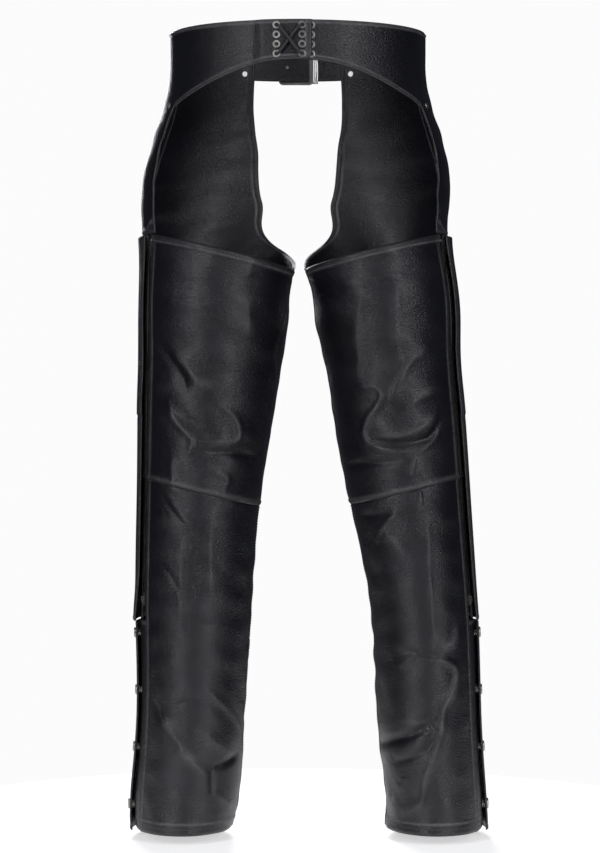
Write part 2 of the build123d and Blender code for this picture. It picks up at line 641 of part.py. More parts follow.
def buckle_plate():
    """The plate with two ears that reach back to the hinge pin."""
    pin = chape_spot()
    back = CHAPE_BORE + BELT_THICKNESS * 0.8 + LAYER_GAP
    plate = Box(BUCKLE_WIDTH, BUCKLE_HEIGHT, BUCKLE_PLATE)
    plate = fillet(plate.edges().filter_by(Axis.Z), 6.0)
    plate = fillet(plate.faces().sort_by(Axis.Z)[-1].edges(), 0.8)
    plate = Pos(BUCKLE_WIDTH / 2 + BUCKLE_START, 0, back + BUCKLE_PLATE / 2) * plate
    ear_at = BELT_HEIGHT / 2 + LAYER_GAP + 1.0
    for way in (-1, 1):
        post = Box(PIN_DIAMETER + 2.0 + BUCKLE_EAR_REACH, 2.0, back)
        post = Pos(BUCKLE_EAR_REACH / 2, way * ear_at, back / 2) * post
        ring = Pos(0, way * ear_at, 0) * Rot(90, 0, 0) * Cylinder(PIN_DIAMETER / 2 + 1.0, 2.0)
        hole = Pos(0, way * ear_at, 0) * Rot(90, 0, 0) * Cylinder(PIN_DIAMETER / 2, 4.0)
        plate = plate + (post + ring - hole)
    return pin * plate


def buckle_pin():
    length = BELT_HEIGHT + 2 * (LAYER_GAP + 2.0)
    return chape_spot() * Rot(90, 0, 0) * Cylinder(PIN_DIAMETER / 2, length)


def buckle_peg():
    back = CHAPE_BORE + BELT_THICKNESS * 0.8 + LAYER_GAP
    reach = chape_spot().to_local_coords(band_spot(PEG_X, belt_middle(), LAYER_GAP, front=True).origin)
    return chape_spot() * Pos(reach.X, 0, 0) * disc(PEG_DIAMETER, reach.Z - 0.6, back)


# ---------------------------------------------------------------- writing
def write(name, shape):
    solids = []
    for piece in shape if isinstance(shape, list) else [shape]:
        solids += piece.solids()
    solids = [solid for solid in solids if solid.volume > 0.5]
    whole = solids[0] if len(solids) == 1 else Compound(children=solids)
    export_step(whole, f"parts/{name}.step")
    print(name, len(solids), round(sum(s.volume for s in solids), 1))


def set_in(shape, *groups):
    """The leather with room cut for the metal pieces that are set in it."""
    for group in groups:
        for piece in group:
            shape = shape - piece
    return shape


for side in SIDES:
    belt_set, belt_holes = belt_rivets(side), belt_rivet_holes(side)
    hip_set = [hip_plane(side) * rivet(0.0, -LEATHER)]
    caps, sockets = snap_caps(side), snap_sockets(side)
    studs, posts = snap_studs(side), snap_posts(side)
    rings, washers = eyelets(side), eyelet_washers(side)
    write(f"{side}_front_thigh", set_in(front_thigh(side), belt_holes))
    write(f"{side}_front_shin", front_shin(side))
    write(f"{side}_back_thigh", back_thigh(side))
    write(f"{side}_back_calf", back_calf(side))
    write(f"{side}_snap_underlap", set_in(snap_underlap(side), studs, posts))
    write(f"{side}_yoke", set_in(yoke(side), hip_set, rings, washers))
    write(f"{side}_thigh_lining", thigh_lining(side))
    write(f"{side}_storm_flap", storm_flap(side))
    write(f"{side}_snap_flap", set_in(snap_flap(side), caps, sockets))
    write(f"{side}_belt_strap", set_in(belt_strap(side), belt_holes))
    for edge in ("front", "back"):
        write(f"{side}_zip_tape_{edge}", zip_tape(side, edge))
        write(f"{side}_zip_teeth_{edge}", zip_teeth(side, edge))
    write(f"{side}_zip_top_stops", zip_stops(side, SIDE_TOP - 9.0))
    write(f"{side}_zip_bottom_stops", zip_stops(side, ZIP_BOTTOM + 4.0))
    write(f"{side}_zip_slider", slider(side))
    write(f"{side}_zip_bail", zip_bail(side))
    write(f"{side}_zip_pull", zip_pull(side))
    write(f"{side}_snap_caps", caps)
    write(f"{side}_snap_sockets", sockets)
    write(f"{side}_snap_studs", studs)
    write(f"{side}_snap_posts", posts)
    write(f"{side}_eyelets", rings)
    write(f"{side}_eyelet_washers", washers)
    write(f"{side}_belt_rivets", belt_set)
    write(f"{side}_hip_rivet", hip_set)
write("lace", lace())
write("buckle_plate", buckle_plate())
write("buckle_pin", buckle_pin())
write("buckle_peg", buckle_peg())
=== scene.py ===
import bmesh
import bpy
import numpy as np
from mathutils import Matrix, Vector
from mathutils.bvhtree import BVHTree


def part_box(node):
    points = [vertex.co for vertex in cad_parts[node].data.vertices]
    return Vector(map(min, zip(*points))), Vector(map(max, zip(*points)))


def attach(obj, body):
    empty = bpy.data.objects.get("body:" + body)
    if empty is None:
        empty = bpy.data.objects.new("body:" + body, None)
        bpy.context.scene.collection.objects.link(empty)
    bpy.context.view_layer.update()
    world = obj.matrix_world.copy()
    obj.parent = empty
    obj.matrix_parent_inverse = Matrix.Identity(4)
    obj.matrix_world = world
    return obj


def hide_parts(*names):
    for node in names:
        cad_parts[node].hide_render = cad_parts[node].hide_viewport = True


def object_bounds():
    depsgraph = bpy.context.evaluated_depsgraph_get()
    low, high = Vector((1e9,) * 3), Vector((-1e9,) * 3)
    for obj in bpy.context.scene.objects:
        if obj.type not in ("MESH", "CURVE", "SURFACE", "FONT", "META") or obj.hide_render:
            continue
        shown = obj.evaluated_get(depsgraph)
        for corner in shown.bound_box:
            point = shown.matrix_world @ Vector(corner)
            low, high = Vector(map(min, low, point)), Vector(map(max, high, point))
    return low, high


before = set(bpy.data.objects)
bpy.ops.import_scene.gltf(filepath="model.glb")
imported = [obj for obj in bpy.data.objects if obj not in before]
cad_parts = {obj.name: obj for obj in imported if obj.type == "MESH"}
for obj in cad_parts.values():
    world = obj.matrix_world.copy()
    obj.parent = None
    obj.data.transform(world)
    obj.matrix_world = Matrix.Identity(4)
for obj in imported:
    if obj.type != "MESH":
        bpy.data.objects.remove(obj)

# Leather riding chaps in the shape they hold when worn, seen from behind.
# Sizes are millimetres, and MM turns them into metres. Angles round a leg are degrees:
# 0 is the outer side, 90 the back, 180 the inner side and 270 the front.
MM = 0.001
SIDES = {"left": 1, "right": -1}
START_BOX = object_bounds()
LENGTH = -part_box("left_back_calf")[0][2] / MM
RANDOM = np.random.default_rng(7)

# ---------------------------------------------------------------- sizes
WAIST_HALF_WIDTH = 166.0
WAIST_HALF_DEPTH = 126.0
BAND_HEIGHT = 48.0
HIP_STATION = (-135.0, 3.0, 0.0, 184.0, 129.0)
LEATHER = 2.0
FLAP = 1.8
FLAP_FACE = 6.1             # the flaps' outer face off the leather
FLAP_ROOT_FACE = 2.7        # the same at the sewn root
TAPE_FACE = -2.15
TAPE_EDGES = (3.4, 14.5)    # from the zip line, as ZIP_EDGE is
LINING_EDGE = 14.6
LINING_FACE = -2.2
BAND_TOP = -0.2
CROTCH = -304.0
ZIP_TOP = -262.0
ZIP_BOTTOM = -752.0
ZIP_X = {"left": (190.0, 198.5), "right": (187.0, 222.5)}
ZIP_Y = (44.0, 34.0)
ZIP_ANGLE = 25.0
ZIP_EDGE = 7.25             # zip line to the leather beside it, measured along y
LEG_HEIGHTS = (-215.0, -305.0, -400.0, -500.0, -610.0, -720.0)
LEG_INNER = {
    "left": (-100.0, 4.0, 17.0, 33.0, 50.0, 59.0),
    "right": (-100.0, 10.0, 30.0, 48.0, 69.0, 92.0),
}
LEG_DEPTH = (119.0, 105.0, 100.0, 94.0, 90.0, 88.0)
LEG_RADIUS = 95.0           # a leg's usual one
SHIN = {
    "left": ((-830.0, 202.5, 66.0, 86.0), (-930.0, 206.0, 72.0, 85.0), (-LENGTH, 209.0, 86.0, 86.0)),
    "right": ((-830.0, 230.5, 101.0, 86.0), (-930.0, 234.5, 108.0, 85.0), (-LENGTH, 239.0, 114.0, 86.0)),
}
MID_LEG_X = {"left": 140.0, "right": 150.0}
KNEE = -589.0
SEAM_SLOPE = 0.24
STORM_FLAP_END = -756.0
TUCK = 3.0                  # how far a panel runs under the one sewn over it
TUCK_ANGLE = 1.8            # the same, in degrees round the leg
FLAP_OVERHANG = 2.0         # the soft flaps run a little into the gap between them
STORM_FLAP_FLARE = {"left": 6.0, "right": 2.5}
SNAP_FLAP_FLARE = 1.5
SNAP_FLAP_HANG = 3.0        # how far it hangs below the leg's hem
STORM_FLAP_SEAM = -487.0
SNAP_FLAP_TOP = -762.0
SNAP_FLAP_Y = (-51.0, 15.0)
UNDERLAP_FRONT_Y = -8.0
YOKE_SEAM_Y = -40.0
LAP_END_X = -17.5           # free edge of the left yoke, past the middle
LAP_UNDER_X = -5.0          # end of the right yoke, in its own mirrored x
LAP_START_X = 42.0
LAP_STEP = 16.0
LAP_RISE = 3.2
LAP_CORNER = 10.0           # radius of the left yoke's lower corner
YOKE_ARCH = (
    (-40.0, -51.0), (0.0, -50.5), (40.0, -53.5), (85.0, -65.0), (125.0, -83.0),
    (151.0, -100.0), (168.0, -121.0), (180.0, -148.0), (188.0, -180.0),
)
YOKE_ARCH_HEIGHT = -78.0    # the height where the arch's x is measured
YOKE_END_ANGLES = (17.0, 26.0)
FRONT_OPENING = ((-304.0, -179.0), (-265.0, -116.0), (-205.0, -89.0), (-120.0, -72.0), (0.0, -69.6))
BELT_START_X = 146.0
BELT_END_X = {"left": -16.0, "right": 26.3}
BELT_TOP = -5.0
BELT_HEIGHT = 38.0
BELT_THICKNESS = 2.8
EYELET_HEIGHTS = (-7.5, -19.5, -31.5, -43.5)
LEFT_COLUMN = 26.0
MIDDLE_COLUMN = -5.6
LACE_RADIUS = 1.6
# The lace's route behind the yoke: (x, how far off the band, row of eyelets).
LACE_ROUTE = (
    (LEFT_COLUMN, -4.0, 3), (LEFT_COLUMN, 4.6, 3), (LEFT_COLUMN - 3, 7.4, 3),
    (MIDDLE_COLUMN + 3, 7.6, 0), (MIDDLE_COLUMN, 4.6, 0), (MIDDLE_COLUMN, -5.0, 0),
    (LEFT_COLUMN, -5.0, 0), (LEFT_COLUMN, 4.6, 0), (LEFT_COLUMN - 3, 9.2, 0),
    (MIDDLE_COLUMN + 3, 10.2, 3), (MIDDLE_COLUMN, 5.0, 3), (MIDDLE_COLUMN, -4.0, 3),
)
CELL = 2.5                  # size of a mesh cell in leather
CLOTH_CELL = 6.0
FIRST_HEIGHT = -400.0       # where a panel starts to look for its own heights and angles

# Folds: (height, width, (z, angle), ...). A negative height is a valley.
FOLDS = {
    "left": (
        (1.2, 4, (-320, 66), (-320, 88)),
        (-4, 14, (-401, 42), (-437, 64), (-465, 74)),
        (2.5, 12, (-415, 58), (-449, 80), (-461, 95)),
        (4, 7, (-481, 56), (-497, 62), (-511, 71), (-525, 81), (-545, 79)),
        (-3.5, 12, (-490, 67), (-511, 87), (-523, 105)),
        (3.5, 7, (-481, 101), (-493, 113), (-504, 120), (-518, 123), (-527, 119), (-528, 96)),
        (-6, 7, (-541, 93), (-541, 113), (-548, 149)),
        (3, 9, (-561, 93), (-568, 109), (-575, 116), (-589, 115)),
        (2.5, 10, (-547, 63), (-586, 65)),
        (2, 14, (-345, 118), (-397, 121)),
        (2, 5, (-346, 173), (-403, 153), (-456, 164)),
        (1.5, 14, (-285, 85), (-311, 85)),
        (1.5, 10, (-296, 116), (-324, 116)),
        (1.0, 4, (-352, 78), (-365, 85), (-374, 96)),
        (2.5, 9, (-594, 58), (-621, 75), (-633, 85)),
        (-2, 7, (-594, 51), (-636, 82)),
        (2, 12, (-622, 103), (-727, 108)),
        (1.5, 12, (-657, 76), (-768, 78)),
        (-1.5, 9, (-650, 92), (-745, 93)),
        (-1.5, 6, (-667, 44), (-696, 65), (-727, 83)),
        (-2, 5, (-756, 95), (-761, 112), (-756, 133)),
        (-3, 6, (-863, 70), (-857, 86), (-859, 101)),
        (3, 9, (-841, 105), (-865, 129), (-895, 160)),
        (5, 12, (-873, 56), (-892, 66), (-928, 91), (-949, 111)),
        (3, 16, (-899, 102), (-924, 141)),
        (-5, 9, (-943, 116), (-931, 156)),
        (-4, 10, (-943, 118), (-976, 122)),
        (-3, 10, (-847, 35), (-901, 69), (-918, 82)),
        (3, 8, (-976, 127), (-997, 157)),
    ),
    "right": (
        (1.5, 5, (-328, 126), (-328, 106)),
        (1.5, 8, (-290, 85), (-290, 71)),
        (2, 7, (-319, 90), (-319, 73)),
        (2.5, 12, (-324, 83), (-422, 87)),
        (1.5, 4, (-424, 89), (-424, 81)),
        (2, 12, (-347, 113), (-450, 124)),
        (2.5, 5, (-458, 124), (-458, 109)),
        (4, 7, (-457, 109), (-468, 104), (-484, 110), (-502, 121), (-518, 126), (-528, 124)),
        (3, 10, (-410, 60), (-431, 78), (-454, 88), (-472, 96)),
        (2.5, 10, (-461, 55), (-481, 82)),
        (3.5, 9, (-488, 53), (-509, 71), (-520, 95), (-523, 123)),
        (-6, 8, (-502, 52), (-523, 65), (-529, 90), (-527, 120)),
        (3, 8, (-529, 124), (-539, 104), (-540, 84)),
        (3, 4, (-550, 82), (-575, 87)),
        (3, 7, (-507, 52), (-525, 62), (-541, 77)),
        (-5, 9, (-559, 157), (-555, 124), (-552, 92)),
        (2.5, 4, (-585, 80), (-603, 81), (-615, 86)),
        (1.5, 3, (-617, 86), (-610, 77)),
        (3, 9, (-612, 102), (-630, 117), (-648, 132)),
        (-3, 9, (-624, 150), (-618, 111)),
        (2, 14, (-645, 125), (-669, 100)),
        (2, 10, (-631, 76), (-696, 82), (-786, 83)),
        (3, 10, (-757, 51), (-781, 58), (-796, 76)),
        (-4, 6, (-791, 121), (-798, 92), (-799, 74)),
        (4, 9, (-814, 127), (-800, 103), (-805, 74), (-817, 57), (-841, 60), (-865, 74),
         (-892, 79), (-919, 87), (-955, 100), (-985, 107), (-1000, 131)),
        (-7, 10, (-919, 175), (-901, 117), (-886, 91), (-899, 84)),
        (-4, 9, (-904, 84), (-922, 104), (-940, 146)),
        (3, 12, (-877, 126), (-889, 81)),
        (3, 8, (-964, 131), (-988, 151)),
    ),
}
# Folds in front, the same on both legs but a little higher or lower.
FRONT_FOLDS = (
    (2.5, 12, (-340, 200), (-385, 235), (-405, 265)),
    (-2.5, 10, (-330, 225), (-352, 258), (-350, 292)),
    (2.0, 11, (-430, 330), (-470, 300), (-500, 262)),
    (3.0, 9, (-520, 225), (-538, 258), (-535, 292)),
    (-3.5, 9, (-556, 215), (-566, 262), (-556, 318)),
    (3.0, 9, (-606, 238), (-618, 270), (-610, 306)),
    (-2.5, 8, (-634, 228), (-640, 262), (-632, 290)),
    (2.0, 14, (-670, 300), (-770, 296)),
    (1.5, 12, (-680, 245), (-790, 250)),
    (3.0, 10, (-860, 220), (-885, 262), (-880, 300)),
    (-4.0, 9, (-900, 215), (-912, 262), (-902, 312)),
    (3.0, 10, (-935, 232), (-948, 272), (-938, 306)),
)
FRONT_SHIFT = {"left": 0.0, "right": 9.0}
FOLD_HEIGHT = 0.85          # all the folds above are this share as high
CREASED_HEIGHTS = (-365.0, -450.0, -520.0, -570.0, -630.0, -780.0, -880.0, -950.0)
WAVE_HEIGHT = 0.16
FLAT_MIDDLE = -3.0          # the leather stays flat beside the zip and the snaps:
FLAT_SPREAD = (37.0, 47.0)  # round this angle, out to these angles


# ---------------------------------------------------------------- numbers
def smooth(xs, ys, x):
    """A smooth curve through the points, read at x. xs rises."""
    slopes = np.gradient(ys, xs)
    i = np.clip(np.searchsorted(xs, x) - 1, 0, len(xs) - 2)
    width = xs[i + 1] - xs[i]
    t = np.clip((x - xs[i]) / width, 0, 1)
    start = (1 + 2 * t) * (1 - t) ** 2 * ys[i] + t * (1 - t) ** 2 * width * slopes[i]
    return start + t**2 * (3 - 2 * t) * ys[i + 1] - t**2 * (1 - t) * width * slopes[i + 1]


def ramp(x, low, high):
    """0 below low, 1 above high, and smooth in between."""
    t = np.clip((x - low) / (high - low), 0, 1)
    return t * t * (3 - 2 * t)


def bell(x, width):
    return np.exp(-((x / width) ** 2))


def between(z, ends):
    return ends[0] + (ends[1] - ends[0]) * (ZIP_TOP - z) / (ZIP_TOP - ZIP_BOTTOM)


def stations(side):
    """(height, centre x, centre y, half width, half depth) of the worn shape."""
    rows = [(z, 0.0, 0.0, WAIST_HALF_WIDTH, WAIST_HALF_DEPTH) for z in (0.0, -24.0, -BAND_HEIGHT)]
    rows.append(HIP_STATION)
    reach = (1 - np.cos(np.radians(ZIP_ANGLE))) / 2
    for z, inner, depth in zip(LEG_HEIGHTS, LEG_INNER[side], LEG_DEPTH):
        outer = (between(z, ZIP_X[side]) - reach * inner) / (1 - reach)
        centre_y = between(z, ZIP_Y) - depth * np.sin(np.radians(ZIP_ANGLE))
        rows.append((z, (outer + inner) / 2, centre_y, (outer - inner) / 2, depth))
    rows += [(z, (a + b) / 2, 0.0, (a - b) / 2, depth) for z, a, b, depth in SHIN[side]]
    return sorted(rows)


# ---------------------------------------------------------------- the worn shape
SCAN_HEIGHTS = np.linspace(-LENGTH + 2.0, -BAND_HEIGHT - 2.0, 80)
SCAN_STEP = 5.0
SCAN_ANGLES = np.arange(0.0, 360.0, SCAN_STEP)
LEATHER_NODES = ("front_thigh", "front_shin", "back_thigh", "back_calf", "snap_underlap", "yoke")


class Worn:
    """The outer face of the leather on one side, smoothed, and as the CAD leather has it."""

    def __init__(self, side):
        self.side = side
        self.sign = SIDES[side]
        self.heights, *self.sizes = np.array(stations(side)).T
        self.share = self.measure()

    def ellipse(self, z):
        """(centre x, centre y, half width, half depth) at each height."""
        return [smooth(self.heights, size, z) for size in self.sizes]

    def measure(self):
        """How far the CAD leather is from the plain ellipses, as a share, by height and angle."""
        mesh = bmesh.new()
        for part in LEATHER_NODES:
            mesh.from_mesh(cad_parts[f"{self.side}_{part}"].data)
        tree = BVHTree.FromBMesh(mesh)
        mesh.free()
        rows = []
        for z in SCAN_HEIGHTS:
            x, y, half_x, half_y = self.ellipse(z)
            centre = Vector((self.sign * x, y, z)) * MM
            row = []
            for angle in np.radians(SCAN_ANGLES):
                reach = Vector((self.sign * half_x * np.cos(angle), half_y * np.sin(angle), 0)) * MM
                hit = tree.ray_cast(centre + reach * 1.25, -reach.normalized(), reach.length * 0.4)[0]
                row.append((hit - centre).length / reach.length if hit else np.nan)
            row = np.array(row)
            known = ~np.isnan(row)
            if known.any():
                row = np.interp(SCAN_ANGLES, SCAN_ANGLES[known], row[known], period=360)
            rows.append(np.nan_to_num(row, nan=1.0))
        rows = np.clip(np.array(rows), 0.95, 1.05)
        rows[1:-1] = (rows[:-2] + 2 * rows[1:-1] + rows[2:]) / 4
        return rows

    def share_at(self, z, angle):
        row = np.interp(z, SCAN_HEIGHTS, np.arange(len(SCAN_HEIGHTS)))
        col = np.mod(angle, 360.0) / SCAN_STEP
        i = np.minimum(row.astype(int), len(SCAN_HEIGHTS) - 2)
        j = col.astype(int) % len(SCAN_ANGLES)
        k = (j + 1) % len(SCAN_ANGLES)
        a, b = row - i, col - col.astype(int)
        low = self.share[i, j] * (1 - b) + self.share[i, k] * b
        high = self.share[i + 1, j] * (1 - b) + self.share[i + 1, k] * b
        found = low * (1 - a) + high * a
        return 1 + (found - 1) * ramp(-z, BAND_HEIGHT, BAND_HEIGHT + 15)

    def at(self, z, angle, offset=0.0):
        """Points on the leather's outer face, moved out by offset."""
        z, angle, offset = np.broadcast_arrays(*[np.asarray(a, float) for a in (z, angle, offset)])
        x, y, half_x, half_y = self.ellipse(z)
        share = self.share_at(z, angle)
        turn = np.radians(angle)
        along = x + (half_x * share + offset) * np.cos(turn)
        return np.stack([self.sign * along, y + (half_y * share + offset) * np.sin(turn), z], -1)

    def radius(self, z):
        _, _, half_x, half_y = self.ellipse(z)
        return np.sqrt((half_x**2 + half_y**2) / 2)

    def angle_at_y(self, z, y):
        """The angle on the outer side where the shape has this y."""
        _, centre, _, depth = self.ellipse(z)
        return np.degrees(np.arcsin(np.clip((y - centre) / depth, -1, 1)))

    def inner_seam(self, z):
        return 180.0 - self.angle_at_y(z, 0.0)

    def angle_at_x(self, z, x):
        """The angle behind where the shape has this x, in the side's own mirrored x."""
        centre, _, half, _ = self.ellipse(z)
        return np.degrees(np.arccos(np.clip((x - centre) / half, -1, 1)))

    def x_at(self, z, angle):
        centre, _, half, _ = self.ellipse(z)
        return centre + half * np.cos(np.radians(angle))


def fold_height(z, angle, folds):
    """How far the folds lift or sink the leather at each point."""
    lift = np.zeros(z.shape)
    for height, width, *points in folds:
        zs, angles = np.array(points, float).T
        steps = np.arange(len(points), dtype=float)
        fine = np.linspace(0, steps[-1], 14 * len(points))
        line_z, line_angle = smooth(steps, zs, fine), smooth(steps, angles, fine)
        near = (z > zs.min() - 3 * width) & (z < zs.max() + 3 * width)
        if not near.any():
            continue
        turn = (np.mod(angle[near], 360.0)[:, None] - line_angle[None]) * 1.5
        apart = np.hypot(z[near][:, None] - line_z[None], turn)
        nearest = apart.argmin(1)
        share = fine[nearest] / steps[-1]
        taper = np.minimum(1, 0.25 + 3.2 * np.minimum(share, 1 - share))
        away = apart.min(1)
        ridge = 0.6 * bell(away, width * 0.62) + 0.4 * np.exp(-away / (width * 0.4))
        lift[near] += FOLD_HEIGHT * height * taper * ridge
    return lift


def small_creases(count):
    """Short random creases where a worn leg bends: above and below the knee, at the thigh and ankle."""
    creases = []
    for _ in range(count):
        z = RANDOM.choice(CREASED_HEIGHTS) + RANDOM.normal(0, 20)
        angle, length = RANDOM.uniform(45, 315), RANDOM.uniform(9, 26)
        tilt = RANDOM.normal(0, 0.5)
        height, width = RANDOM.uniform(-1.1, 0.9), RANDOM.uniform(3.5, 6.5)
        rise, run = length * np.sin(tilt), length * 0.65 * np.cos(tilt)
        ends = [(z + k * rise, angle + k * run) for k in (-0.5, 0.5)]
        middle = (z + RANDOM.normal(0, 2.5), angle)
        creases.append((height, width, ends[0], middle, ends[1]))
    return creases


CREASES = {side: small_creases(90) for side in SIDES}
WAVES = [
    (RANDOM.uniform(0.06, 0.2), RANDOM.uniform(0, np.pi), RANDOM.uniform(0, 6.28)) for _ in range(10)
]


def relief(worn, z, angle):
    """Folds and the leather's small unevenness. It dies out beside the zip, the snaps and the band."""
    lift = fold_height(z, angle, FOLDS[worn.side])
    lift += fold_height(z - FRONT_SHIFT[worn.side], angle, FRONT_FOLDS)
    lift += fold_height(z, angle, CREASES[worn.side])
    along = np.radians(angle) * LEG_RADIUS * worn.sign
    for pitch, way, phase in WAVES:
        lift += WAVE_HEIGHT * np.sin(pitch * (z * np.cos(way) + along * np.sin(way)) + phase)
    turn = np.mod(angle + 180.0, 360.0) - 180.0
    beside_zip = ramp(np.abs(turn - FLAT_MIDDLE), *FLAT_SPREAD)
    return lift * np.maximum(beside_zip, ramp(z, ZIP_TOP + 6, ZIP_TOP + 30)) * ramp(-z, 52, 90)


def turned_edge(e, width, rise):
    """A folded edge, with its own step, a rounded rim and the groove of its stitches."""
    step = rise * (1 - ramp(e, width - 0.9, width + 0.9)) - 1.3 * np.clip(1 - e / 1.6, 0, 1) ** 2
    groove = -0.45 * bell(e - width * 0.55, 0.9) if width > 4 else 0.0
    return step + groove


# ---------------------------------------------------------------- leather panels
class Panel:
    """A piece of leather between two lines that run down and two that run across.

    start and end give an angle by height. top and bottom give a height by (height, angle).
    turned maps an edge to (width, rise) of its folded edge. base is the offset of its outer face.
    """

    def __init__(self, worn, start, end, top, bottom, turned=(), base=None, folds=True):
        self.worn = worn
        self.start, self.end, self.top, self.bottom = start, end, top, bottom
        self.turned = dict(turned)
        self.base = base or (lambda z, angle, u, v: 0.0)
        self.folds = folds
        u, v = np.meshgrid(np.linspace(0, 1, 41), np.linspace(0, 1, 61))
        points = worn.at(*self.spread(u, v))
        self.width = np.linalg.norm(np.diff(points, axis=1), axis=2).sum(1).max()
        self.height = np.linalg.norm(np.diff(points, axis=0), axis=2).sum(0).max()
        corners = points[:-1, :-1], points[1:, 1:], points[:-1, 1:], points[1:, :-1]
        cross = np.cross(corners[1] - corners[0], corners[3] - corners[2])
        self.area = np.linalg.norm(cross, axis=2).sum() / 2

    def spread(self, u, v):
        """(height, angle) at shares u across and v down."""
        first = np.array(FIRST_HEIGHT)
        middle = 0.5 * (self.start(first) + self.end(first))
        z = np.full(u.shape, FIRST_HEIGHT)
        angle = np.full(u.shape, float(middle))
        for _ in range(4):
            top, bottom = self.top(z, angle), self.bottom(z, angle)
            z = top + (bottom - top) * v
            start, end = self.start(z), self.end(z)
            angle = start + (end - start) * u
        return z, angle

    def edge_distances(self, u, v, z, angle):
        across = np.radians(np.abs(self.end(z) - self.start(z))) * self.worn.radius(z)
        down = np.abs(self.top(z, angle) - self.bottom(z, angle))
        return {"start": u * across, "end": (1 - u) * across, "top": v * down, "bottom": (1 - v) * down}

    def at(self, u, v, lift=0.0):
        z, angle = self.spread(u, v)
        offset = self.base(z, angle, u, v) + lift
        if self.folds:
            offset = offset + relief(self.worn, z, angle)
        distances = self.edge_distances(u, v, z, angle)
        for edge, (width, rise) in self.turned.items():
            offset = offset + turned_edge(distances[edge], width, rise)
        return self.worn.at(z, angle, offset)

    def rubbing_and_ridge_highlight(self, u, v):
        """How light the leather is painted: rubbing on folded edges, and a painted highlight on the tops
        of folds, which leaves the valleys as painted shade.
        """
        z, angle = self.spread(u, v)
        worn = np.zeros(u.shape)
        if self.folds:
            # Painted highlight: the higher a fold lifts the leather, the lighter its colour is painted,
            # so the valleys stay darker as painted shade.
            worn = np.clip(relief(self.worn, z, angle) / 5.0, 0, 1) ** 1.5
        distances = self.edge_distances(u, v, z, angle)
        for edge, (width, rise) in self.turned.items():
            # Rubbing on the folded edges, at their step and at their rim.
            if rise > 0:
                worn = np.maximum(worn, bell(distances[edge] - width, 1.3))
                worn = np.maximum(worn, 0.6 * bell(distances[edge] - 1.2, 1.2))
        return worn

    def line(self, edge, inset, samples=500):
        """Points and normals of a line beside an edge, for its stitches."""
        share = np.linspace(0.002, 0.998, samples)
        size = self.width if edge in ("start", "end") else self.height
        near = np.full(samples, inset / size)
        for _ in range(3):
            u, v = self.line_shares(edge, share, near)
            z, angle = self.spread(u, v)
            found = self.edge_distances(u, v, z, angle)[edge]
            near = near * inset / np.maximum(found, 1e-3)
            near = np.clip(near, 0, 0.6)
        u, v = self.line_shares(edge, share, near)
        points = self.at(u, v, 0.1)
        normals = self.at(u, v, 1.1) - points
        return points, normals

    @staticmethod
    def line_shares(edge, share, near):
        if edge in ("top", "bottom"):
            return share, near if edge == "top" else 1 - near
        return near if edge == "start" else 1 - near, share


def grid_object(name, across, down, place, thickness, rubbing_and_ridge_highlight=None, size=(1.0, 1.0)):
    """A sheet of leather or cloth: a grid bent to place(u, v, lift), then given its thickness."""
    shape = bmesh.new()
    bmesh.ops.create_grid(shape, x_segments=across, y_segments=down, size=0.5)
    mesh = bpy.data.meshes.new(name)
    shape.to_mesh(mesh)
    shape.free()
    flat = np.empty(len(mesh.vertices) * 3)
    mesh.vertices.foreach_get("co", flat)
    flat = flat.reshape(-1, 3)
    u, v = flat[:, 0] + 0.5, 0.5 - flat[:, 1]
    points = place(u, v, 0.0)
    mesh.vertices.foreach_set("co", (points * MM).ravel())
    mesh.update()
    middle = int(np.argmin(np.hypot(u - 0.5, v - 0.5)))
    outward = Vector(place(u[middle:middle + 1], v[middle:middle + 1], 1.0)[0] - points[middle])
    if mesh.vertices[middle].normal.dot(outward) < 0:
        mesh.flip_normals()
    # A mask for each point: rubbing on edges, and a painted highlight on the tops of folds.
    mesh.attributes.new("rubbing_and_ridge_highlight", "FLOAT", "POINT")
    mesh.attributes["rubbing_and_ridge_highlight"].data.foreach_set("value", rubbing_and_ridge_highlight(u, v) if rubbing_and_ridge_highlight else np.zeros(len(u)))
    mesh.attributes.new("cloth", "FLOAT_VECTOR", "POINT")
    lie = np.stack([u * size[0], v * size[1], np.zeros(len(u))], -1) * MM
    mesh.attributes["cloth"].data.foreach_set("vector", lie.ravel())
    mesh.shade_smooth()
    piece = bpy.data.objects.new(name, mesh)
    bpy.context.scene.collection.objects.link(piece)
    thick = piece.modifiers.new("thickness", "SOLIDIFY")
    thick.thickness = thickness * MM
    thick.offset = -1.0
    return piece


def stitches(name, points, normals, pitch=3.6, length=2.5, width=0.8):
    """Thread along a line, one small bead for each stitch."""
    steps = np.linalg.norm(np.diff(points, axis=0), axis=1)
    travelled = np.concatenate([[0.0], np.cumsum(steps)])
    places = np.arange(pitch / 2, travelled[-1], pitch)
    shape = bmesh.new()
    for place in places:
        i = min(np.searchsorted(travelled, place), len(points) - 1)
        tangent = Vector(points[i] - points[i - 1]).normalized()
        normal = Vector(normals[i])
        normal = (normal - tangent * normal.dot(tangent)).normalized()
        side = normal.cross(tangent)
        share = (place - travelled[i - 1]) / max(travelled[i] - travelled[i - 1], 1e-6)
        spot = Vector(points[i - 1] + (points[i] - points[i - 1]) * share) * MM
        turn = Matrix((tangent, side, normal)).transposed().to_4x4()
        scale = Matrix.Diagonal((length / 2 * MM, width / 2 * MM, width / 2 * MM, 1.0))
        matrix = Matrix.Translation(spot) @ turn @ scale
        bmesh.ops.create_icosphere(shape, subdivisions=1, radius=1.0, matrix=matrix)
    mesh = bpy.data.meshes.new(name)
    shape.to_mesh(mesh)
    shape.free()
    mesh.shade_smooth()
    piece = bpy.data.objects.new(name, mesh)
    bpy.context.scene.collection.objects.link(piece)
    return piece


def paint(piece, material):
    piece.data.materials.append(material)


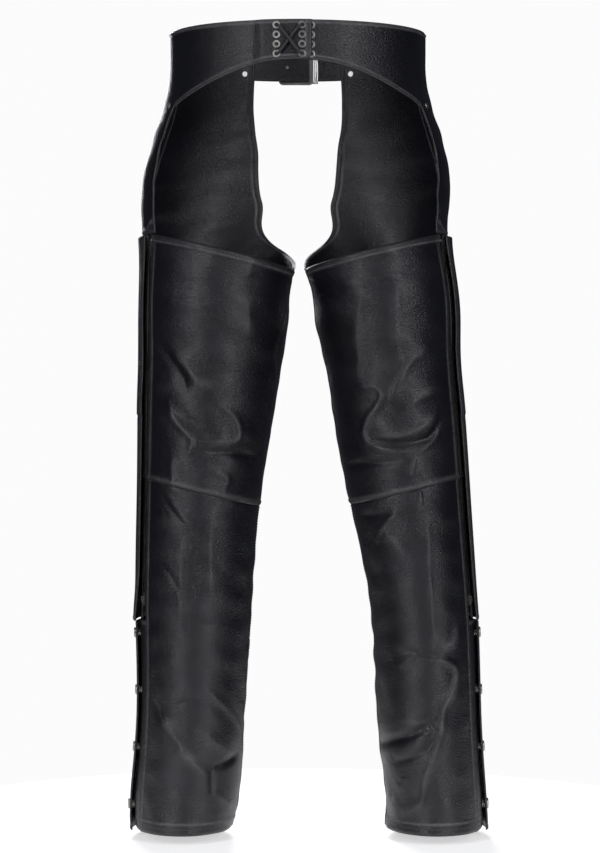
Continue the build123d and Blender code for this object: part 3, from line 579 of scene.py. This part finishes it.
def add_panel(name, panel, nodes, body="chaps", thickness=LEATHER, stitched=(), material="leather"):
    """The panel's sheet and the rows of stitches that belong to it."""
    cell = CELL if material == "leather" else CLOTH_CELL
    across = int(np.clip(panel.width / cell, 6, 260))
    down = int(np.clip(panel.height / cell, 6, 260))
    sheet = grid_object(name, across, down, panel.at, thickness, panel.rubbing_and_ridge_highlight, (panel.width, panel.height))
    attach(sheet, body)
    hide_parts(*nodes)
    paint(sheet, MATERIALS[material])
    for edge, inset in stitched:
        seam = stitches(f"{name}_stitches_{edge}_{int(inset)}", *panel.line(edge, inset))
        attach(seam, body)
        paint(seam, MATERIALS["thread"])
    return sheet


def slope(worn, height, middle):
    """A seam across the back of a leg that falls towards the inner leg."""
    return lambda z, angle: height + (worn.x_at(z, angle) - middle) * SEAM_SLOPE


def level(height):
    return lambda z, angle: np.full(np.shape(z), float(height))


def zip_line(worn, distance):
    """The angle of a line beside the zip, by height; below the zip it runs straight down."""
    return lambda z: worn.angle_at_y(z, between(np.maximum(z, STORM_FLAP_END), ZIP_Y) + distance)


def front_opening(worn):
    """The panel's inner edge: the front opening's edge, and below the crotch the inner seam."""
    heights, angles = np.array(FRONT_OPENING).T

    def angle(z):
        seam = worn.inner_seam(z) - 360.0
        return np.where(z < CROTCH, seam, smooth(heights, angles, np.maximum(z, CROTCH)))
    return angle


def front_outer(worn):
    """The front thigh's outer edge: the zip, and above it the seam with the yoke."""
    beside_zip = zip_line(worn, -ZIP_EDGE)

    def angle(z):
        above = ramp(z, ZIP_TOP, ZIP_TOP + 10)
        return beside_zip(z) * (1 - above) + worn.angle_at_y(z, YOKE_SEAM_Y) * above
    return angle


def yoke_bottom(worn):
    """The yoke's lower edge: level at the hip, then up and along the arch behind."""
    xs, heights = np.array(YOKE_ARCH).T

    def height(z, angle):
        x = worn.x_at(YOKE_ARCH_HEIGHT, angle)
        arch = smooth(xs, heights, np.clip(x, xs[0], xs[-1]))
        if worn.side == "left":
            band_x = WAIST_HALF_WIDTH * np.cos(np.radians(angle))
            round_off = np.clip((LAP_END_X + LAP_CORNER - band_x) / LAP_CORNER, 0, 1)
            arch = arch + LAP_CORNER * (1 - np.sqrt(1 - round_off**2))
        return arch + (ZIP_TOP - arch) * (1 - ramp(angle, *YOKE_END_ANGLES))
    return height


def lap_offset(z, angle, u, v):
    """The left yoke steps up where it laps over the right one."""
    x = WAIST_HALF_WIDTH * np.cos(np.radians(angle))
    return LAP_RISE * (1 - ramp(x, LAP_START_X, LAP_START_X + LAP_STEP))


def flap_offset(flare):
    """A flap's outer face: low at its sewn root, and a little flared at the end of its free edge."""
    def offset(z, angle, u, v):
        root = ramp(u, 0.0, 0.14)
        face = FLAP_ROOT_FACE + (FLAP_FACE - FLAP_ROOT_FACE) * root
        return face + flare * ramp(v, 0.86, 1.0) * ramp(u, 0.5, 1.0)
    return offset


def storm_offset(flare):
    plain = flap_offset(flare)

    def offset(z, angle, u, v):
        seam = z - STORM_FLAP_SEAM
        lap = 0.9 * (ramp(seam, -7.0, -5.6) - ramp(seam, 0.0, 60.0)) - 0.5 * bell(seam + 7.4, 0.9)
        return plain(z, angle, u, v) + lap
    return offset


def snap_edge(worn):
    """The snap flap's free edge, a little uneven."""
    def angle(z):
        return worn.angle_at_y(z, SNAP_FLAP_Y[1] + 1.2 * np.sin(z / 31.0) + 0.8 * np.sin(z / 11.0))
    return angle


def build_leg(side):
    worn = WORN[side]
    top = slope(worn, ZIP_TOP, ZIP_X[side][0])
    knee = slope(worn, KNEE, MID_LEG_X[side])
    back_edge, seam = zip_line(worn, ZIP_EDGE), worn.inner_seam
    tucked = slope(worn, KNEE + TUCK, MID_LEG_X[side])
    hem = level(-LENGTH)
    fold, low = (7.0, 1.0), (TUCK + 1.0, -0.8)

    def under_seam(z):
        return seam(z) + TUCK_ANGLE

    thigh = Panel(worn, back_edge, under_seam, top, knee,
                  {"start": fold, "top": (8.0, 1.6), "bottom": (6.0, 1.1), "end": low})
    add_panel(f"{side}_thigh_back_leather", thigh, [f"{side}_back_thigh"],
              stitched=(("top", 4.4), ("start", 3.9), ("bottom", 3.3)))
    calf = Panel(worn, back_edge, under_seam, tucked, hem,
                 {"start": fold, "bottom": (15.0, 0.8), "top": low, "end": low})
    add_panel(f"{side}_calf_back_leather", calf, [f"{side}_back_calf"],
              stitched=(("bottom", 8.2), ("start", 3.9)))
    under = Panel(worn, lambda z: worn.angle_at_y(z, UNDERLAP_FRONT_Y), back_edge,
                  level(STORM_FLAP_END), hem, {"top": (5.0, 0.4), "bottom": (15.0, 0.5)})
    add_panel(f"{side}_underlap_leather", under, [f"{side}_snap_underlap"], stitched=(("top", 2.8),))
    front = Panel(worn, front_outer(worn), front_opening(worn), level(BAND_TOP), knee,
                  {"end": (8.0, 1.0), "bottom": (6.0, 1.1), "start": (7.0, 0.6)})
    add_panel(f"{side}_thigh_front_leather", front, [f"{side}_front_thigh"],
              stitched=(("end", 4.4), ("bottom", 3.3)))

    def shin_outer(z):
        below = ramp(-z, -STORM_FLAP_END - 4, -STORM_FLAP_END)
        zip_side = zip_line(worn, -ZIP_EDGE)(z)
        return zip_side * (1 - below) + worn.angle_at_y(z, UNDERLAP_FRONT_Y) * below
    shin = Panel(worn, shin_outer, lambda z: seam(z) - 360.0, tucked, hem,
                 {"bottom": (15.0, 0.5), "top": low, "end": (4.0, 0.6)})
    add_panel(f"{side}_shin_leather", shin, [f"{side}_front_shin"],
              stitched=(("bottom", 8.2), ("end", 2.2)))

    lining = Panel(worn, zip_line(worn, LINING_EDGE), lambda z: zip_line(worn, -LINING_EDGE)(z) + 360.0,
                   level(CROTCH - 12.0), level(KNEE + 45.0), base=lambda z, angle, u, v: LINING_FACE)
    add_panel(f"{side}_lining_cloth", lining, [f"{side}_thigh_lining"], thickness=0.5, material="lining")


def build_yoke(side):
    worn = WORN[side]
    end_x = LAP_END_X if side == "left" else LAP_UNDER_X
    turned = {"bottom": (5.6, 0.6), "end": (6.0, 0.4), "top": (4.0, 0.4), "start": (TUCK + 1.0, -0.8)}
    panel = Panel(worn, lambda z: worn.angle_at_y(z, YOKE_SEAM_Y) - 1.2,
                  lambda z: worn.angle_at_x(z, end_x), level(BAND_TOP), yoke_bottom(worn), turned,
                  base=lap_offset if side == "left" else None)
    add_panel(f"{side}_yoke_leather", panel, [f"{side}_yoke"],
              stitched=(("bottom", 3.1), ("end", 3.3), ("top", 2.4), ("start", 6.5)))


def build_flaps(side):
    worn = WORN[side]
    storm = Panel(worn, lambda z: worn.angle_at_y(z, -between(z, ZIP_Y)), zip_line(worn, -2.9),
                  level(ZIP_TOP - 2.0), level(STORM_FLAP_END - FLAP_OVERHANG),
                  {"end": (7.0, 0.5), "bottom": (6.0, 0.4)},
                  base=storm_offset(STORM_FLAP_FLARE[side]), folds=False)
    add_panel(f"{side}_storm_flap_leather", storm, [f"{side}_storm_flap"], f"{side}_storm_flap", FLAP,
              stitched=(("start", 3.0), ("end", 3.9)))
    snap = Panel(worn, lambda z: worn.angle_at_y(z, SNAP_FLAP_Y[0]), snap_edge(worn),
                 level(SNAP_FLAP_TOP + FLAP_OVERHANG), level(-LENGTH - SNAP_FLAP_HANG),
                 {"end": (5.0, 0.4), "bottom": (7.0, 0.4)},
                 base=flap_offset(SNAP_FLAP_FLARE), folds=False)
    add_panel(f"{side}_snap_flap_leather", snap, [f"{side}_snap_flap"], f"{side}_snap_flap", FLAP,
              stitched=(("start", 3.0), ("end", 2.8)))


def build_zip_tape(side):
    worn = WORN[side]
    inner, outer = TAPE_EDGES
    for edge, near, far in (("front", -outer, -inner), ("back", inner, outer)):
        low, high = zip_line(worn, near), zip_line(worn, far)
        tape = Panel(worn, low, high, level(ZIP_TOP - 7.0), level(ZIP_BOTTOM), folds=False,
                     base=lambda z, angle, u, v: TAPE_FACE)
        add_panel(f"{side}_{edge}_tape_cloth", tape, [f"{side}_zip_tape_{edge}"],
                  thickness=0.8, material="tape")


# ---------------------------------------------------------------- belt and lace
def band_at(x, z, offset, face):
    """A point off the straight waist band, behind (face 1) or in front (face -1)."""
    y = WAIST_HALF_DEPTH * np.sqrt(1 - (x / WAIST_HALF_WIDTH) ** 2)
    normal = np.stack([x / WAIST_HALF_WIDTH**2, face * y / WAIST_HALF_DEPTH**2, 0 * x], -1)
    normal = normal / np.linalg.norm(normal, axis=-1, keepdims=True)
    return np.stack([x, face * y, z + 0 * x], -1) + normal * np.asarray(offset)[..., None]


def build_belt(side):
    sign = SIDES[side]
    start, end = BELT_START_X, BELT_END_X[side]
    width = start - end

    def place(u, v, lift):
        distance = np.minimum(np.minimum(u, 1 - u) * width, np.minimum(v, 1 - v) * BELT_HEIGHT)
        rim = -0.9 * np.clip(1 - distance / 1.6, 0, 1) ** 2 - 0.35 * bell(distance - 3.2, 0.9)
        x = sign * (start + (end - start) * u)
        return band_at(x, BELT_TOP - BELT_HEIGHT * v, 0.4 + BELT_THICKNESS + rim + lift, -1)

    def rubbing_and_ridge_highlight(u, v):
        return 0.5 * bell(np.minimum(v, 1 - v) * BELT_HEIGHT - 1.4, 1.2)
    strap = grid_object(f"{side}_belt_leather", int(width / 2), 26, place, BELT_THICKNESS, rubbing_and_ridge_highlight)
    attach(strap, "chaps")
    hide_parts(f"{side}_belt_strap")
    paint(strap, MATERIALS["leather"])
    for row, height in (("upper", 3.2), ("lower", BELT_HEIGHT - 3.2)):
        u, v = np.linspace(0.02, 0.98, 300), np.full(300, height / BELT_HEIGHT)
        points = place(u, v, 0.1)
        seam = stitches(f"{side}_belt_stitches_{row}", points, place(u, v, 1.1) - points)
        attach(seam, "chaps")
        paint(seam, MATERIALS["thread"])


def build_lace():
    data = bpy.data.curves.new("lace_thong", "CURVE")
    data.dimensions = "3D"
    spline = data.splines.new("NURBS")
    spline.points.add(len(LACE_ROUTE) - 1)
    for point, (x, offset, row) in zip(spline.points, LACE_ROUTE):
        spot = band_at(np.array([x]), EYELET_HEIGHTS[row], np.array([offset]), 1)[0] * MM
        point.co = (*spot, 1.0)
        point.radius = LACE_RADIUS * MM
    spline.order_u = 3
    spline.use_endpoint_u = True
    spline.resolution_u = 12
    data.bevel_depth = 1.0
    data.bevel_resolution = 4
    data.use_fill_caps = True
    lace = bpy.data.objects.new("lace_thong", data)
    bpy.context.scene.collection.objects.link(lace)
    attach(lace, "chaps")
    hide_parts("lace")
    paint(lace, MATERIALS["lace"])


# ---------------------------------------------------------------- materials
class Value:
    """A shader socket that sums, scales and multiplies like a number."""

    def __init__(self, tree, socket):
        self.tree, self.socket = tree, socket

    def math(self, operation, *others):
        node = self.tree.nodes.new("ShaderNodeMath")
        node.operation = operation
        for i, value in enumerate((self, *others)):
            if isinstance(value, Value):
                self.tree.links.new(value.socket, node.inputs[i])
            else:
                node.inputs[i].default_value = value
        return Value(self.tree, node.outputs[0])

    def __add__(self, other):
        return self.math("ADD", other)

    def __sub__(self, other):
        return self.math("SUBTRACT", other)

    def __mul__(self, other):
        return self.math("MULTIPLY", other)

    def clamp(self):
        node = self.math("ADD", 0.0)
        node.socket.node.use_clamp = True
        return node


class Finish:
    """A material's node tree, built up one node at a time."""

    def __init__(self, name, **constants):
        self.material = bpy.data.materials.new(name)
        self.material.use_nodes = True
        self.tree = self.material.node_tree
        self.shader = self.tree.nodes["Principled BSDF"]
        for key, value in constants.items():
            self.shader.inputs[key.replace("_", " ")].default_value = value

    def node(self, kind, settings=(), **inputs):
        """A new node. inputs are named with _ for a space, and take a number or a Value."""
        node = self.tree.nodes.new(kind)
        for key, value in dict(settings).items():
            setattr(node, key, value)
        for key, value in inputs.items():
            socket = node.inputs[key.replace("_", " ")]
            if isinstance(value, Value):
                self.tree.links.new(value.socket, socket)
            else:
                socket.default_value = value
        return node

    def value(self, node, output=0):
        return Value(self.tree, node.outputs[output])

    def place(self):
        return self.value(self.node("ShaderNodeTexCoord"), "Object")

    def attribute(self, name, output="Fac"):
        return self.value(self.node("ShaderNodeAttribute", {"attribute_name": name}), output)

    def noise(self, where, scale, detail=3.0, roughness=0.55, distortion=0.0):
        return self.value(self.node("ShaderNodeTexNoise", Vector=where, Scale=scale, Detail=detail,
                                    Roughness=roughness, Distortion=distortion), "Fac")

    def pebbles(self, where, scale):
        """Distance from the middle of each cell of a cellular pattern."""
        return self.value(self.node("ShaderNodeTexVoronoi", {"feature": "F1"}, Vector=where, Scale=scale))

    def mix(self, share, low, high):
        node = self.node("ShaderNodeMix", {"data_type": "RGBA"})
        self.tree.links.new(share.socket, node.inputs[0])
        node.inputs[6].default_value = (*low, 1.0)
        node.inputs[7].default_value = (*high, 1.0)
        return Value(self.tree, node.outputs[2])

    def bump(self, height, distance, strength=1.0, under=None):
        extra = {"Normal": under} if under else {}
        return self.value(self.node("ShaderNodeBump", Height=height, Distance=distance,
                                    Strength=strength, **extra))

    def set(self, **values):
        for key, value in values.items():
            self.tree.links.new(value.socket, self.shader.inputs[key.replace("_", " ")])


def make_leather(name, low, high, rub_and_highlight_colour, rough):
    finish = Finish(name, Coat_Weight=0.04, Coat_Roughness=0.25, Specular_IOR_Level=0.42)
    where = finish.place()
    rubbing_and_ridge_highlight = finish.attribute("rubbing_and_ridge_highlight")
    blotch = finish.noise(where, 14.0, 4.0)
    flattened = finish.value(finish.node("ShaderNodeMapping", Vector=where, Scale=(1.0, 1.0, 2.4)))
    creases = finish.noise(flattened, 48.0, 6.0, 0.68, 0.9)
    grain = finish.pebbles(flattened, 400.0)
    fine = finish.noise(where, 900.0, 3.0)
    tone = finish.mix((blotch * 1.6 - 0.3).clamp(), low, high)
    shade = finish.node("ShaderNodeMix", {"data_type": "RGBA"})
    # Rubbing on folded edges and a painted highlight on fold tops: the mask, streaked by the creases,
    # lightens the leather towards the light colour.
    rub_and_highlight = (rubbing_and_ridge_highlight * (creases * 1.5 - 0.15) * 0.9).clamp()
    finish.tree.links.new(rub_and_highlight.socket, shade.inputs[0])
    finish.tree.links.new(tone.socket, shade.inputs[6])
    shade.inputs[7].default_value = (*rub_and_highlight_colour, 1.0)
    finish.set(Base_Color=Value(finish.tree, shade.outputs[2]))
    finish.set(Roughness=(blotch * 0.14 + grain * 0.1 + rubbing_and_ridge_highlight * 0.08 + rough).clamp())
    wrinkled = finish.bump(creases, 0.0016, 0.55)
    pebbled = finish.bump(grain * -0.9 + fine * 0.4, 0.0007, 0.75, wrinkled)
    finish.set(Normal=pebbled)
    return finish.material


def make_cloth(name, low, high, thread, rough):
    """Twill or tape: two sets of ribs across each other, in the sheet's own flat coordinates."""
    finish = Finish(name, Sheen_Weight=0.3, Sheen_Roughness=0.4)
    where = finish.attribute("cloth", "Vector")
    ribs = []
    for way in ("X", "Y"):
        wave = finish.node("ShaderNodeTexWave", {"bands_direction": way}, Vector=where, Scale=thread,
                           Distortion=1.2, Detail=1.0)
        ribs.append(finish.value(wave, "Fac"))
    weave = ribs[0] * ribs[1]
    blotch = finish.noise(finish.place(), 30.0)
    finish.set(Base_Color=finish.mix((weave * 0.8 + blotch * 0.3).clamp(), low, high))
    finish.set(Roughness=(blotch * 0.15 + rough).clamp())
    finish.set(Normal=finish.bump(weave, 0.0003, 0.7))
    return finish.material


def make_metal(name, low, high, rough, scratch):
    finish = Finish(name, Metallic=1.0)
    where = finish.place()
    stain = finish.noise(where, 160.0, 4.0)
    marks = finish.noise(where, scratch, 5.0, 0.7)
    finish.set(Base_Color=finish.mix((stain * 1.5 - 0.25).clamp(), low, high))
    finish.set(Roughness=(stain * 0.2 + marks * 0.14 + rough).clamp())
    finish.set(Normal=finish.bump(marks, 0.00008, 0.5))
    return finish.material


def make_thread(name, low, high):
    finish = Finish(name, Roughness=0.6)
    where = finish.place()
    finish.set(Base_Color=finish.mix(finish.noise(where, 240.0), low, high))
    finish.set(Normal=finish.bump(finish.noise(where, 2600.0, 1.0), 0.0002, 0.6))
    return finish.material


MATERIALS = {
    # The third colour is rubbing on folded edges, and a painted highlight on the tops of folds.
    "leather": make_leather("black_leather", (0.0012, 0.0012, 0.0026), (0.004, 0.004, 0.0075),
                            (0.12, 0.115, 0.12), 0.27),
    "lace": make_leather("lace_leather", (0.012, 0.011, 0.012), (0.035, 0.032, 0.034),
                         (0.1, 0.1, 0.1), 0.4),
    "lining": make_cloth("black_lining", (0.006, 0.006, 0.008), (0.03, 0.03, 0.034), 320.0, 0.5),
    "tape": make_cloth("zip_tape", (0.004, 0.004, 0.005), (0.02, 0.02, 0.022), 260.0, 0.75),
    "thread": make_thread("black_thread", (0.03, 0.03, 0.032), (0.12, 0.118, 0.12)),
    "nickel": make_metal("nickel", (0.42, 0.41, 0.4), (0.72, 0.71, 0.69), 0.16, 900.0),
    "dark_nickel": make_metal("dark_nickel", (0.2, 0.19, 0.18), (0.5, 0.48, 0.45), 0.2, 900.0),
    "zip_metal": make_metal("zip_metal", (0.09, 0.085, 0.08), (0.3, 0.29, 0.27), 0.25, 1200.0),
}

METAL_NODES = {
    "zip_metal": ("zip_teeth_front", "zip_teeth_back", "zip_top_stops", "zip_bottom_stops"),
    "dark_nickel": ("zip_slider", "zip_bail", "zip_pull", "snap_caps", "snap_sockets", "snap_studs",
                    "snap_posts", "eyelets", "eyelet_washers", "belt_rivets", "hip_rivet"),
}


def paint_metal():
    for material, kinds in METAL_NODES.items():
        for name in [f"{side}_{kind}" for side in SIDES for kind in kinds]:
            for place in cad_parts[name].material_slots:
                place.material = MATERIALS[material]
    for name in ("buckle_plate", "buckle_pin", "buckle_peg"):
        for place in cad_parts[name].material_slots:
            place.material = MATERIALS["nickel"]


# ---------------------------------------------------------------- camera, light and floor
def add_camera():
    data = bpy.data.cameras.new("camera")
    data.lens = 104.0
    data.sensor_width = 36.0
    camera = bpy.data.objects.new("camera", data)
    camera.location = (-0.003, 3.2, -0.5085)
    camera.rotation_euler = (np.pi / 2, 0.0, np.pi)
    bpy.context.scene.collection.objects.link(camera)
    bpy.context.scene.camera = camera


def add_light(name, place, aim, size, watts):
    data = bpy.data.lights.new(name, "AREA")
    data.shape = "RECTANGLE"
    data.size, data.size_y = size
    data.energy = watts
    data.color = (0.96, 0.96, 1.0)
    light = bpy.data.objects.new(name, data)
    light.location = place
    light.rotation_euler = (Vector(aim) - Vector(place)).to_track_quat("-Z", "Y").to_euler()
    bpy.context.scene.collection.objects.link(light)


def add_world():
    """White where the camera looks past the object, and dim where it lights it."""
    world = bpy.data.worlds.new("studio")
    bpy.context.scene.world = world
    world.use_nodes = True
    nodes, links = world.node_tree.nodes, world.node_tree.links
    dim = nodes["Background"]
    dim.inputs["Color"].default_value = (0.75, 0.8, 0.9, 1.0)
    dim.inputs["Strength"].default_value = 0.06
    white = nodes.new("ShaderNodeBackground")
    white.inputs["Strength"].default_value = 1.0
    white.inputs["Color"].default_value = (0.97, 0.97, 0.97, 1.0)
    ray = nodes.new("ShaderNodeLightPath")
    blend = nodes.new("ShaderNodeMixShader")
    links.new(ray.outputs["Is Camera Ray"], blend.inputs[0])
    links.new(dim.outputs[0], blend.inputs[1])
    links.new(white.outputs[0], blend.inputs[2])
    links.new(blend.outputs[0], nodes["World Output"].inputs["Surface"])


def add_floor():
    shape = bmesh.new()
    bmesh.ops.create_circle(shape, cap_ends=True, segments=96, radius=0.62)
    mesh = bpy.data.meshes.new("floor")
    shape.to_mesh(mesh)
    shape.free()
    floor = bpy.data.objects.new("floor", mesh)
    mesh.transform(Matrix.Translation((0.0, 0.0, START_BOX[0][2] - 0.012)))
    bpy.context.scene.collection.objects.link(floor)
    finish = Finish("floor", Roughness=0.6, Emission_Color=(1.0, 1.0, 1.0, 1.0), Emission_Strength=0.55)
    stain = finish.noise(finish.place(), 3.0)
    finish.set(Base_Color=finish.mix(stain, (0.78, 0.78, 0.78), (0.86, 0.86, 0.86)))
    mesh.materials.append(finish.material)


add_camera()
bpy.context.scene.view_settings.view_transform = "Standard"
add_world()
add_light("left_box", (1.7, 2.3, 0.1), (0.05, 0.0, -0.5), (0.5, 1.8), 46.0)
add_light("right_box", (-1.7, 2.3, 0.1), (-0.05, 0.0, -0.5), (0.5, 1.8), 46.0)
add_light("top_box", (0.0, 1.4, 1.5), (0.0, 0.0, -0.3), (1.6, 0.6), 7.0)
add_light("front_box", (0.4, -2.6, 0.7), (0.0, 0.0, -0.5), (1.4, 1.4), 70.0)
add_floor()

WORN = {side: Worn(side) for side in SIDES}
for side_name in SIDES:
    build_leg(side_name)
    build_yoke(side_name)
    build_flaps(side_name)
    build_zip_tape(side_name)
    build_belt(side_name)
build_lace()
paint_metal()
